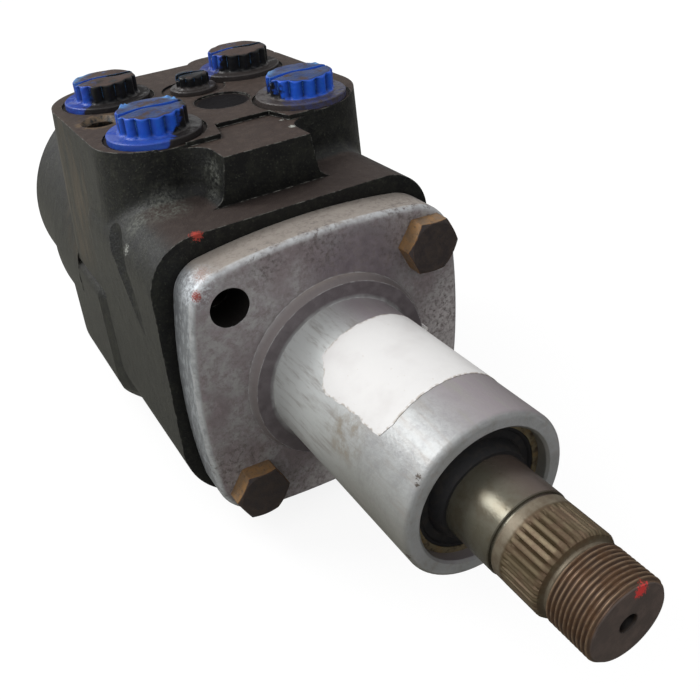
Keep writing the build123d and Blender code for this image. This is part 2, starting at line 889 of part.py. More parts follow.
def make_drive_link():
    """Link that tilts between the pin on the axis and the star off the axis."""
    spline_front = star_middle - link_spline_length / 2
    spline_rear = star_middle + link_spline_length / 2
    bar = turned([
        (0, link_front),
        (link_fork_r - 1.0, link_front),
        (link_fork_r, link_front + 1.0),
        (link_fork_r, pin_station + 8),
        (link_waist_r, pin_station + 14),
        (link_waist_r, spline_front - 6),
        (star_spline_root_r - 1.2, spline_front - 2),
        (star_spline_root_r - 1.2, spline_rear),
        (0, spline_rear),
    ])
    slot_half = pin_r + fork_gap
    fork = block(-10, 10, link_front - 1, pin_station + slot_half, -slot_half, slot_half)
    teeth = slab(
        toothed(star_spline_r - link_tooth_gap, star_spline_root_r - 1.3, star_spline_count, 0.4),
        spline_front,
        spline_rear,
    )
    link = bar - fork + teeth
    turn = -link_tilt * 180 / pi
    return Pos(0, pin_station, 0) * Rot(0, 0, turn) * Pos(0, -pin_station, 0) * link


def make_end_cap():
    cap = rod(gerotor_r, ring_rear, cap_rear)
    cap = fillet(cap.edges().sort_by(Axis.Y)[-1], 2.0)
    for angle in screw_angles:
        hole = rod(cap_screw_hole_r, ring_rear - 1, cap_rear + 1, cap_screw_circle_r)
        sink = rod(cap_screw_head_r + 0.9, cap_rear - cap_counterbore_depth, cap_rear + 1, cap_screw_circle_r)
        cap -= around(angle) * (hole + sink)
    return cap - ring_groove(ring_rear - 1, ring_rear + 2 * seal_ring_section)


def make_cap_screws():
    """Seven long screws through the cap, ring and plate into the housing."""
    seat = cap_rear - cap_counterbore_depth + washer_thick
    screws = []
    for angle in screw_angles:
        shank = rod(cap_screw_r, housing_rear - cap_screw_reach + 2, seat, cap_screw_circle_r)
        head = rod(cap_screw_head_r, seat, seat + cap_screw_head_height, cap_screw_circle_r)
        socket = slab(
            Pos(cap_screw_circle_r, 0) * RegularPolygon(3.4, 6),
            seat + 2,
            seat + cap_screw_head_height + 1,
        )
        screws.append(around(angle) * (shank + head - socket))
    return screws


def make_cap_washers():
    seat = cap_rear - cap_counterbore_depth
    washers = []
    for angle in screw_angles:
        ring = Pos(cap_screw_circle_r, 0) * (Circle(cap_screw_head_r + 0.5) - Circle(cap_screw_r + 0.1))
        washers.append(around(angle) * slab(ring, seat, seat + washer_thick))
    return washers


def make_check_seat():
    x, y = port_places["front_left"]
    seat = post(check_bore_r - 0.02, check_bore_bottom + 1.5, check_seat_top, x, y)
    return seat - post(check_seat_hole_r, check_bore_bottom, check_seat_top + 1, x, y)


def check_ball_height():
    """Height of the ball's centre when it rests on the edge of its seat."""
    return check_seat_top + sqrt(check_ball_r**2 - check_seat_hole_r**2) + 0.02


def make_check_ball():
    x, y = port_places["front_left"]
    return Pos(x, y, check_ball_height()) * Sphere(check_ball_r)


def make_check_keeper():
    """Slotted ring above the ball that limits its lift."""
    x, y = port_places["front_left"]
    bottom = check_ball_height() + check_ball_r + check_lift + 0.1
    keeper = post(check_bore_r - 0.02, bottom, bottom + 3.0, x, y)
    return keeper - post(2.0, bottom - 1, bottom + 4, x, y)


def save(name, shape):
    """Write one node, as one solid or as a group of separate solids."""
    if isinstance(shape, list):
        shape = Compound(children=[s.solids()[0] for s in shape])
    export_step(shape, f"parts/{name}.step")


def main():
    save("housing", make_housing())
    save("column", make_column())
    save("column_o_ring", make_column_ring())
    save("column_bolts", make_column_bolts())
    save("column_seal_case", make_seal_case())
    save("column_seal_lip", make_seal_lip())
    save("bearing_spacer", make_bearing_spacer())
    save("bearing_outer_race", make_bearing_outer_race())
    save("bearing_inner_race", make_bearing_inner_race())
    save("bearing_balls", bearing_balls())
    save("bearing_cage", make_bearing_cage())
    save("shaft_snap_ring", make_snap_ring())
    save("input_shaft", make_input_shaft())
    save("neck_bushing", make_shaft_bushing())
    save("neck_seal", make_neck_seal())
    save("thrust_race_front", make_thrust_race_front())
    save("thrust_needles", make_thrust_needles())
    save("thrust_race_rear", make_thrust_race_rear())
    save("valve_sleeve", make_valve_sleeve())
    save("valve_spool", make_valve_spool())
    save("cross_pin", make_cross_pin())
    save("centering_springs", make_centering_springs())
    save("drive_link", make_drive_link())
    save("wear_plate", make_wear_plate())
    save("gerotor_ring", make_gerotor_ring())
    save("gerotor_star", make_gerotor_star())
    save("drive_spacer", make_drive_spacer())
    save("end_cap", make_end_cap())
    save("cap_screws", make_cap_screws())
    save("cap_washers", make_cap_washers())
    save("housing_face_ring", seal_ring(seal_ring_r, housing_rear - seal_ring_section, seal_ring_section))
    save("plate_face_ring", seal_ring(seal_ring_r, ring_front - seal_ring_section, seal_ring_section))
    save("cap_face_ring", seal_ring(seal_ring_r, ring_rear + seal_ring_section, seal_ring_section))
    for place in port_places:
        save(f"plug_{place}", make_port_plug(place))
    save("pilot_plug", make_pilot_plug())
    save("check_seat", make_check_seat())
    save("check_ball", make_check_ball())
    save("check_keeper", make_check_keeper())


main()
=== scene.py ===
import bpy
import numpy as np
from math import cos, pi, radians, sin
from mathutils import Matrix, Vector


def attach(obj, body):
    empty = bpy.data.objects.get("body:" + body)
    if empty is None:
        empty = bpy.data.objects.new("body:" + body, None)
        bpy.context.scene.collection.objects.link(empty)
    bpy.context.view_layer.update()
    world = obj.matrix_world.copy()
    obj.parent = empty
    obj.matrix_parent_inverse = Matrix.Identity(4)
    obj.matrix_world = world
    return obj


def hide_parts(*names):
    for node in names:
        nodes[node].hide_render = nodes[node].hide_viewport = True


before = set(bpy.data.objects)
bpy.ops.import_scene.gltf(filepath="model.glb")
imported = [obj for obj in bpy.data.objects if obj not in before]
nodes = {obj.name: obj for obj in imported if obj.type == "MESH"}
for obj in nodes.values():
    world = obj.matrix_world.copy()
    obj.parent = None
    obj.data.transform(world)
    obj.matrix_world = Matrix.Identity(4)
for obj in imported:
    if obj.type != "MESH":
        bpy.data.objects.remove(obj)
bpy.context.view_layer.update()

# Orbital steering unit with its column. Lengths are in millimetres until they go into Blender.
MM = 0.001
sharp_above = radians(34)

# Column tube and flange
tube_r = 21.75
bolt_offset = 29.19
hole_r = 5.4

# Ports and their moulded plugs, whose places are (x, y). Lobes grow out of the rim over lobe_rise, and the
# slot is cut down to that height at the most.
port_face = 59.9
spot_face = 59.3
blue_plug = {
    "head_r": 9.9, "top": 67.35, "rim_r": 13.5, "rim_top": 61.3,
    "stub_r": 10.85, "stub_end": 50.3, "lobes": 14, "groove": 1.15,
}
dark_plug = {
    "head_r": 5.4, "top": 65.0, "rim_r": 7.4, "rim_top": 60.7,
    "stub_r": 4.95, "stub_end": 51.3, "lobes": 11, "groove": 0.7,
}
plug_shoulder = 1.1
plug_foot = 0.5
plug_rim_break = 0.3
plug_lobe_columns = 26
lobe_rise = 0.9
slot_half_width = 1.0
slot_depth = 1.5
slot_wall = 0.12
plug_places = {
    "plug_front_left": (-24.3, 50.8),
    "plug_front_right": (22.3, 50.8),
    "plug_back_left": (-24.3, 93.6),
    "plug_back_right": (22.3, 93.6),
    "pilot_plug": (1.5, 84.5),
}

# Steering shaft
shaft_end = -100.9
centre_hole_r = 2.2
centre_hole_depth = 4.0
thread_r = 9.8
thread_front = -100.1
thread_rear = -90.4
thread_pitch = 1.06
thread_depth = 0.55
thread_runs_to = thread_rear + 0.4
neck_r = 8.9
neck_rear = -88.9
serration_front = -88.6
serration_end = -78.6
serration_root_r = 10.05
serration_r = 10.55
serration_count = 36
serration_foot = serration_root_r - 0.3
serration_fade = 2.6
collar_rear = -75.9
groove_r = 10.1
groove_rear = -75.1
shaft_r = 10.8
seat_front = -53.4
seat_r = 10.0
snap_groove_front = -40.8
snap_groove_rear = -39.5
snap_groove_r = 9.3
seat_rear = -38.8
core_front = -37.0
core_r = 9.0
core_rear = 11.0
edge_break = 0.2
spline_front = 12.0
spline_root_r = 7.2
spline_r = 8.6
spline_count = 12
shaft_rear = 27.0
shaft_columns = 360

# Paper sticker on the tube. Its edges are points (angle from the top towards the right in degrees, station
# along Y), and the torn edge's points are (station, angle).
sticker_thick = 0.13
sticker_right = 78.0
sticker_rear_edge = ((-40, -16.2), (-20, -15.4), (0, -15.0), (33, -13.2), (47, -11.8), (78, -9.5))
sticker_front_edge = ((-52, -45.2), (-49, -46.1), (-40, -47.3), (0, -46.6), (30, -45.4), (78, -43.0))
sticker_torn_edge = (
    (-16.0, -38.0), (-20.0, -44.0), (-22.4, -53.0), (-26.0, -54.0),
    (-30.8, -52.0), (-37.8, -50.0), (-42.9, -51.0), (-46.0, -49.5),
)
torn_rear = -16.0
torn_length = 30.0
scrap_angle = radians(61.0)
scrap_rear = -10.9
scrap_width = -2.3
scrap_curl = 1.25


# ---------- Meshes from grids of points ----------

def put_mesh(name, points, faces, body, attributes):
    """Makes an object of points in millimetres and faces, with outward faces, and rides it on a body."""
    points = np.asarray(points, float) * MM
    fan = np.array([[face[0], face[k], face[k + 1]] for face in faces for k in range(1, len(face) - 1)])
    corners = points[fan]
    volume = np.einsum("ij,ij->i", corners[:, 0], np.cross(corners[:, 1], corners[:, 2])).sum()
    if volume < 0:
        faces = [face[::-1] for face in faces]
    mesh = bpy.data.meshes.new(name)
    mesh.from_pydata(points.tolist(), [], faces)
    mesh.polygons.foreach_set("use_smooth", np.ones(len(faces), bool))
    mesh.set_sharp_from_angle(angle=sharp_above)
    for label, values in attributes.items():
        mesh.attributes.new(label, "FLOAT", "POINT").data.foreach_set("value", np.ravel(values))
    mesh.update()
    made = bpy.data.objects.new(name, mesh)
    bpy.context.scene.collection.objects.link(made)
    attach(made, body)
    return made


def turned_skin(name, stations, radii, body, attributes, upright_at=None):
    """Closed skin round the Y axis: at row i and column j the point is (r sin a, y, r cos a), with y the
    station, a the column's angle and r the radius there. Each end is closed by a fan to the axis. With
    upright_at, its axis stands on that (x, y) instead: the point is (x + r sin a, y + r cos a, station)."""
    rows, columns = radii.shape
    angles = np.arange(columns) * 2 * pi / columns
    stations = np.broadcast_to(stations.reshape(rows, -1), radii.shape)
    ends = [[0, stations[0].mean(), 0], [0, stations[-1].mean(), 0]]
    grid = np.stack([radii * np.sin(angles), stations, radii * np.cos(angles)], axis=-1).reshape(-1, 3)
    points = np.concatenate([grid, ends])
    if upright_at:
        points = points[:, [0, 2, 1]] + (*upright_at, 0)
    index = np.arange(rows * columns).reshape(rows, columns)
    turned_on = np.roll(index, -1, axis=1)
    squares = np.stack([index[:-1], turned_on[:-1], turned_on[1:], index[1:]], axis=-1).reshape(-1, 4)
    first = np.stack([turned_on[0], index[0], np.full(columns, rows * columns)], axis=-1)
    last = np.stack([index[-1], turned_on[-1], np.full(columns, rows * columns + 1)], axis=-1)
    faces = squares.tolist() + first.tolist() + last.tolist()
    padded = {label: np.append(np.ravel(values), [0.5, 0.5]) for label, values in attributes.items()}
    return put_mesh(name, points, faces, body, padded)


def thin_sheet(name, upper, lower, body, attributes):
    """Thin closed sheet between two grids of points of one size, joined by walls round their border."""
    rows, columns = upper.shape[:2]
    count = rows * columns
    index = np.arange(count).reshape(rows, columns)
    squares = np.stack([index[:-1, :-1], index[:-1, 1:], index[1:, 1:], index[1:, :-1]], axis=-1)
    squares = squares.reshape(-1, 4)
    border = np.concatenate([index[0, :-1], index[:-1, -1], index[-1, :0:-1], index[:0:-1, 0]])
    onward = np.roll(border, -1)
    walls = np.stack([border, border + count, onward + count, onward], axis=-1)
    faces = squares.tolist() + (squares[:, ::-1] + count).tolist() + walls.tolist()
    points = np.concatenate([upper.reshape(-1, 3), lower.reshape(-1, 3)])
    doubled = {label: np.tile(np.ravel(values), 2) for label, values in attributes.items()}
    return put_mesh(name, points, faces, body, doubled)


def rows_along(corners):
    """Rows (radius, height) of a profile, from corners (radius, height, rows up to the next corner)."""
    parts = [
        np.linspace((r, h), (next_r, next_h), count, endpoint=False)
        for (r, h, count), (next_r, next_h, _) in zip(corners, corners[1:])
    ]
    return np.concatenate(parts + [[corners[-1][:2]]])


def make_shaft():
    """Radius by station and angle. The plain profile is straight between its turned points. The thread cuts
    into it by a triangle wave of station / pitch - angle / turn, flattened at crest and root. The serrations
    and the rear spline stand on it as waves of count x angle, held under a chamfer and run out at one end."""
    serration_top = serration_r - 0.02
    plain, stations = rows_along([
        (0.9, shaft_end + centre_hole_depth, 2), (centre_hole_r, shaft_end, 2),
        (thread_r - 0.8, shaft_end, 10), (thread_r, thread_front, 110), (thread_r, thread_rear, 2),
        (neck_r, thread_rear + 0.8, 2), (neck_r, neck_rear, 2),
        (serration_foot, serration_front + edge_break, 10),
        (serration_foot, serration_end - serration_fade, 8),
        (serration_top, serration_end, 2), (serration_top, collar_rear - 0.15, 2),
        (serration_r - edge_break, collar_rear, 2), (groove_r, collar_rear, 2), (groove_r, groove_rear, 2),
        (shaft_r - edge_break, groove_rear, 2), (shaft_r, groove_rear + edge_break, 2),
        (shaft_r, seat_front, 2), (seat_r, seat_front, 2),
        (seat_r, snap_groove_front, 2), (snap_groove_r, snap_groove_front, 2),
        (snap_groove_r, snap_groove_rear, 2), (seat_r, snap_groove_rear, 2), (seat_r, seat_rear, 2),
        (core_r, core_front, 2), (core_r, core_rear, 2),
        (spline_root_r + edge_break, spline_front, 2), (spline_root_r + edge_break, shaft_rear, 1),
    ]).T
    angles = np.arange(shaft_columns) * 2 * pi / shaft_columns
    y, a = np.meshgrid(stations, angles, indexing="ij")
    radii = np.repeat(plain[:, None], shaft_columns, 1)
    outside = (np.cumsum(stations == shaft_end) > 1)[:, None]

    turn = (y - shaft_end) / thread_pitch - a / (2 * pi)
    flank = np.clip(1.5 * np.abs(2 * (turn % 1) - 1) - 0.25, 0, 1)
    run_out = np.clip((thread_runs_to - y) / 0.8, 0, 1)
    threaded = outside & (y < thread_runs_to)
    cut = thread_r - thread_depth * (1 - flank) * run_out
    radii = np.where(threaded, np.minimum(radii, cut), radii)

    wave = 0.5 + 0.5 * np.cos(serration_count * a)
    tooth = serration_root_r + (serration_r - serration_root_r) * np.clip(3.2 * wave, 0, 1) ** 0.7
    chamfer = serration_root_r - edge_break + (y - serration_front) * 1.3
    serrated = (y > serration_front) & (y < serration_end)
    radii = np.where(serrated, np.maximum(radii, np.minimum(tooth, chamfer)), radii)

    key = spline_root_r + (spline_r - spline_root_r) * np.clip(2.5 * np.cos(spline_count * a) + 0.5, 0, 1)
    splined = (y > spline_front + 0.4) & (y < shaft_rear + 1)
    radii = np.where(splined, np.maximum(radii, key), radii)

    crest = np.full_like(radii, 0.5)
    crest = np.where(threaded, flank, crest)
    crest = np.where(serrated, wave, crest)
    shaft = turned_skin("steering_shaft", stations, radii, "input", {"crest": crest})
    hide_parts("input_shaft")
    return shaft


def make_plug(name, tears, head_r, top, rim_r, rim_top, stub_r, stub_end, lobes, groove):
    """Plug moulded round an upright axis. Its rows go up the stub, over the rim, up the head and over its
    rounded shoulder to the middle. The head's radius loses groove x (1 - |sin(lobes a / 2)|^0.85), which
    fades out on the shoulder. The top sags by waves of x and y. A slot along X presses the head's heights
    together towards its root, by the slot's depth at the top. Each tear, as (angle, spread in radians,
    height), pulls a thin peak out of the shoulder."""
    bend = np.linspace(0, pi / 2, 9)
    shoulder = [
        (head_r - plug_shoulder * (1 - cos(t)), top - plug_shoulder * (1 - sin(t)), 1) for t in bend
    ]
    seat = spot_face + 0.01
    profile = rows_along([
        (0.4, stub_end, 2), (stub_r, stub_end, 2), (stub_r, seat, 1), (rim_r, seat, 3),
        (rim_r, rim_top - plug_rim_break, 2), (rim_r - plug_rim_break, rim_top, 8),
        (head_r + plug_foot, rim_top, 4), (head_r, rim_top + plug_foot, 14),
        *shoulder[:-1], (head_r - plug_shoulder, top, 44), (0.3, top, 1),
    ])
    columns = plug_lobe_columns * lobes
    angles = np.arange(columns) * 2 * pi / columns
    heights = profile[:, 1:] + 0 * angles
    radii = profile[:, :1] + 0 * angles
    on_head = np.clip((heights - rim_top) / lobe_rise, 0, 1) * np.clip((top + 0.15 - heights) / 1.2, 0, 1)
    groove_here = 1 - np.abs(np.sin(lobes * angles / 2 + 0.4)) ** 0.85
    side = np.where(radii > head_r - plug_shoulder - 0.01, 1.0, 0.0)
    radii = radii - groove * groove_here * on_head * side
    x, y = radii * np.sin(angles), radii * np.cos(angles)
    lid = np.clip((heights - top + plug_shoulder) / plug_shoulder, 0, 1)
    sag = 0.22 * np.sin(0.45 * x + 1.3 * top) * np.cos(0.5 * y + head_r) - 0.25 * (radii / head_r) ** 2
    heights = heights + lid * (sag - 0.1)
    torn = 0 * heights
    for where, spread, height in tears:
        turn = (angles - where + pi) % (2 * pi) - pi
        off_peak = (radii - head_r + 0.9) / 0.5
        heights = heights + lid * height * np.exp(-(turn / spread) ** 2 - off_peak ** 2)
        torn = np.maximum(torn, lid * np.exp(-(turn / spread / 1.8) ** 2 - (off_peak / 2.4) ** 2))
    slot_root = rim_top + lobe_rise
    in_slot = np.clip((slot_half_width - np.abs(y)) / slot_wall, 0, 1) * (heights > slot_root)
    heights = heights - in_slot * (heights - slot_root) * slot_depth / (top - slot_root)
    # Mask of the grooves and the slot, used to paint shade in them
    groove_shade = np.maximum(groove_here * on_head * side, 0.9 * in_slot)
    attributes = {"groove_shade": groove_shade, "torn": torn}
    made = turned_skin("moulded_" + name, heights, radii, "base", attributes, plug_places[name])
    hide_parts(name)
    return made


def make_plugs():
    """The five plugs by name, each with its tears."""
    torn = {
        "plug_front_left": [(-0.72, 0.10, 0.85), (-0.55, 0.06, 0.5), (0.95, 0.12, 0.6), (1.2, 0.06, 0.5)],
        "plug_front_right": [(-0.9, 0.16, 0.3), (1.1, 0.1, 0.35)],
        "plug_back_left": [(-0.9, 0.3, 0.25)],
        "plug_back_right": [],
    }
    made = {name: make_plug(name, tears, **blue_plug) for name, tears in torn.items()}
    made["pilot_plug"] = make_plug("pilot_plug", [], **dark_plug)
    return made


def on_tube(angles, stations, radius):
    """Points on a cylinder round the Y axis, with the angle taken from the top towards the right."""
    return np.stack([radius * np.sin(angles), stations, radius * np.cos(angles)], axis=-1)


def make_sticker():
    """Bare sticker wrapped on the tube. Across it, u runs from the torn left edge to the right edge, and v
    from the rear edge to the front edge; the edges are read between the points above, and small waves of
    v make the torn one ragged. Near each border the paper comes down to the tube."""
    v, u = np.meshgrid(np.linspace(0, 1, 70), np.linspace(0, 1, 120), indexing="ij")
    torn_y, torn_angle = np.array(sticker_torn_edge)[::-1].T
    left = np.interp(torn_rear - torn_length * v, torn_y, torn_angle)
    left += 0.5 * np.sin(37 * v) + 0.18 * np.sin(97 * v + 1.3) + 0.08 * np.sin(173 * v)
    right = sticker_right + 0.8 * np.sin(9 * v) + 0.4 * np.sin(31 * v + 0.6)
    angle = left + (right - left) * u
    rear_angle, rear_y = np.array(sticker_rear_edge).T
    front_angle, front_y = np.array(sticker_front_edge).T
    rear = np.interp(angle, rear_angle, rear_y) + 0.06 * np.sin(0.9 * angle)
    front = np.interp(angle, front_angle, front_y) + 0.05 * np.sin(0.7 * angle)
    station = rear + (front - rear) * v
    width = (right - left) * radians(1) * tube_r
    edge = np.minimum(np.minimum(u, 1 - u) * width, np.minimum(v, 1 - v) * (rear - front))
    lift = 0.02 * np.sin(27.9 * u + 4 * v) * np.clip(edge / 3, 0, 1)
    upper = on_tube(np.radians(angle), station, tube_r + sticker_thick + lift)
    lower = on_tube(np.radians(angle), station, tube_r + 0.01)
    return thin_sheet("tube_sticker", upper, lower, "base", {"edge": edge, "across": u})


def make_scrap():
    """Strip of paper torn loose at the sticker's rear edge. From its root on the tube it runs along the
    tangent and curls away from the tube: root + curl x (sin t, 1 - cos t) along tangent and radius."""
    t, width = np.meshgrid(np.linspace(0, 3.4, 24), np.linspace(0, 1, 7), indexing="ij")
    curl = scrap_curl * (1 - 0.12 * t)
    tangent, outward = (cos(scrap_angle), -sin(scrap_angle)), (sin(scrap_angle), cos(scrap_angle))
    sheets = []
    for lift in (0.5 * sticker_thick, -0.5 * sticker_thick):
        side = (curl - lift) * np.sin(t)
        reach = tube_r + curl - (curl - lift) * np.cos(t) + 0.5 * sticker_thick
        x = side * tangent[0] + reach * outward[0]
        z = side * tangent[1] + reach * outward[1]
        y = scrap_rear + scrap_width * width + 0.25 * np.sin(2.2 * t) * (width - 0.5)
        sheets.append(np.stack([x, y, z], axis=-1))
    edge = np.minimum(width, 1 - width) * -scrap_width
    return thin_sheet("sticker_scrap", *sheets, "base", {"edge": edge, "across": 0.4 + 0 * edge})


# ---------- Materials ----------

def linear(colour):
    """An sRGB colour written as #rrggbb, as the linear colour that Blender's sockets take."""
    parts = [int(colour[k:k + 2], 16) / 255 for k in (1, 3, 5)]
    return tuple(c / 12.92 if c <= 0.04045 else ((c + 0.055) / 1.055) ** 2.4 for c in parts) + (1.0,)


def add(tree, kind, inputs=None, **settings):
    """Adds a node. Each input is linked where it is given a socket, and set where it is given a value."""
    made = tree.nodes.new("ShaderNode" + kind)
    for name, value in settings.items():
        setattr(made, name, value)
    for name, value in (inputs or {}).items():
        if isinstance(value, bpy.types.NodeSocket):
            tree.links.new(value, made.inputs[name])
        else:
            made.inputs[name].default_value = value
    return made


def new_finish(name, **fixed):
    """A material with one shader, whose fixed values are set on its sockets, and a place in millimetres."""
    material = bpy.data.materials.new(name)
    material.use_nodes = True
    tree = material.node_tree
    tree.nodes.clear()
    shader = add(tree, "BsdfPrincipled", {label.replace("_", " "): value for label, value in fixed.items()})
    add(tree, "OutputMaterial", {"Surface": shader.outputs[0]})
    object_place = add(tree, "TexCoord").outputs["Object"]
    place = add(tree, "VectorMath", {0: object_place, 1: (1000, 1000, 1000)}, operation="MULTIPLY").outputs[0]
    return material, tree, shader, place


def wire(tree, shader, **values):
    """Links each value to the shader's socket of that name, written with _ for its spaces."""
    for label, value in values.items():
        tree.links.new(value, shader.inputs[label.replace("_", " ")])


def rise(tree, value, low, high, kind="SMOOTHSTEP"):
    """Mask that goes from none at low to full at high, smoothly or, with kind LINEAR, straight."""
    return add(tree, "MapRange", {0: value, 1: low, 2: high}, interpolation_type=kind).outputs[0]


def ramp(tree, mask, none, full):
    """A value that goes from none to full with the mask."""
    return add(tree, "MapRange", {0: mask, 3: none, 4: full}).outputs[0]


def maths(tree, operation, first, second):
    """One step of arithmetic on two values."""
    return add(tree, "Math", {0: first, 1: second}, operation=operation).outputs[0]


def dot(tree, first, second):
    """How far the first vector reaches along the second."""
    return add(tree, "VectorMath", {0: first, 1: second}, operation="DOT_PRODUCT").outputs["Value"]


def distance(tree, place, point):
    """Distance from a point."""
    return add(tree, "VectorMath", {0: place, 1: point}, operation="DISTANCE").outputs["Value"]


def any_of(tree, *masks):
    """Mask that is as full as the fullest of the masks."""
    most = masks[0]
    for mask in masks[1:]:
        most = maths(tree, "MAXIMUM", most, mask)
    return most


def all_of(tree, *masks):
    """Mask that is full only where all the masks are."""
    both = masks[0]
    for mask in masks[1:]:
        both = maths(tree, "MULTIPLY", both, mask)
    return both


def patches(tree, place, grain, low, high, stretch=(1, 1, 1), shift=0.0, detail=3.0, rough=0.5):
    """Mask of patches about grain mm across: none where the noise is under low, full where it is over high.
    Detail adds finer layers, and rough says how strong they are."""
    moved = {"Vector": place, "Location": (shift, shift, shift), "Scale": stretch}
    spot = add(tree, "Mapping", moved).outputs[0]
    layers = {"Vector": spot, "Scale": 1 / grain, "Detail": detail, "Roughness": rough}
    return rise(tree, add(tree, "TexNoise", layers).outputs[0], low, high)


def near(tree, place, point, reach, grain=1.5, solid=0.0):
    """Mask of a spot that breaks up towards its rim: noise about grain mm across is let through less and
    less from the point to the reach in mm. Solid above 0 keeps its middle whole."""
    noise = add(tree, "TexNoise", {"Vector": place, "Scale": 1 / grain, "Detail": 4.0}).outputs[0]
    far = distance(tree, place, point)
    closeness = add(tree, "MapRange", {0: far, 1: reach, 2: 0.0, 3: 0.0, 4: 0.5 + solid}).outputs[0]
    raised = maths(tree, "ADD", noise, closeness)
    inside = maths(tree, "LESS_THAN", far, reach)
    return maths(tree, "MULTIPLY", rise(tree, raised, 0.62, 0.80), inside)


def within(tree, place, point, reach, core=0.35):
    """Soft mask of a zone: full up to core times the reach in mm, and none at the reach."""
    return rise(tree, distance(tree, place, point), reach, reach * core)


def zones(tree, place, spots, core):
    """Soft mask of several zones, each given as (x, y, z, reach)."""
    return any_of(tree, *[within(tree, place, spot[:3], spot[3], core) for spot in spots])


def facing(tree, axis, low, high):
    """Mask of the surface that faces along an axis, from the piece's own normal."""
    return rise(tree, dot(tree, add(tree, "TexCoord").outputs["Normal"], axis), low, high)


def along(tree, place, axis, low, high):
    """Mask that grows along an axis from the distance low to high in mm."""
    return rise(tree, dot(tree, place, axis), low, high)


def off_axis(tree, place):
    """Distance from the shaft's axis in mm."""
    across = add(tree, "VectorMath", {0: place, 1: (1, 0, 1)}, operation="MULTIPLY").outputs[0]
    return add(tree, "VectorMath", {0: across}, operation="LENGTH").outputs["Value"]


def coats(tree, ground, *layers):
    """The ground colour with each (mask, colour) laid over the last."""
    colour = add(tree, "RGB").outputs[0]
    colour.default_value = linear(ground)
    for mask, over in layers:
        colour = add(tree, "Mix", {0: mask, 6: colour, 7: linear(over)}, data_type="RGBA").outputs[2]
    return colour


def relief(tree, shader, *heights, normal=None):
    """Bumps the surface by each (mask, height in mm) in turn."""
    for mask, height in heights:
        inputs = {"Height": mask, "Distance": height * MM, "Strength": 1.0}
        if normal is not None:
            inputs["Normal"] = normal
        normal = add(tree, "Bump", inputs).outputs[0]
    tree.links.new(normal, shader.inputs["Normal"])


def edge_wear(tree, radius, low, high):
    """The normal rounded over edges within radius mm, and a mask of those edges."""
    rounded = add(tree, "Bevel", {"Radius": radius * MM}, samples=4).outputs[0]
    true_normal = add(tree, "NewGeometry").outputs["Normal"]
    return rounded, rise(tree, dot(tree, rounded, true_normal), high, low)


def creases(tree, reach):
    """Mask of what lies down in corners and grooves that are narrower than about reach mm, by ambient
    occlusion.
    """
    open_sky = add(tree, "AmbientOcclusion", {"Distance": reach * MM}, samples=6).outputs["AO"]
    return rise(tree, open_sky, 0.85, 0.35)


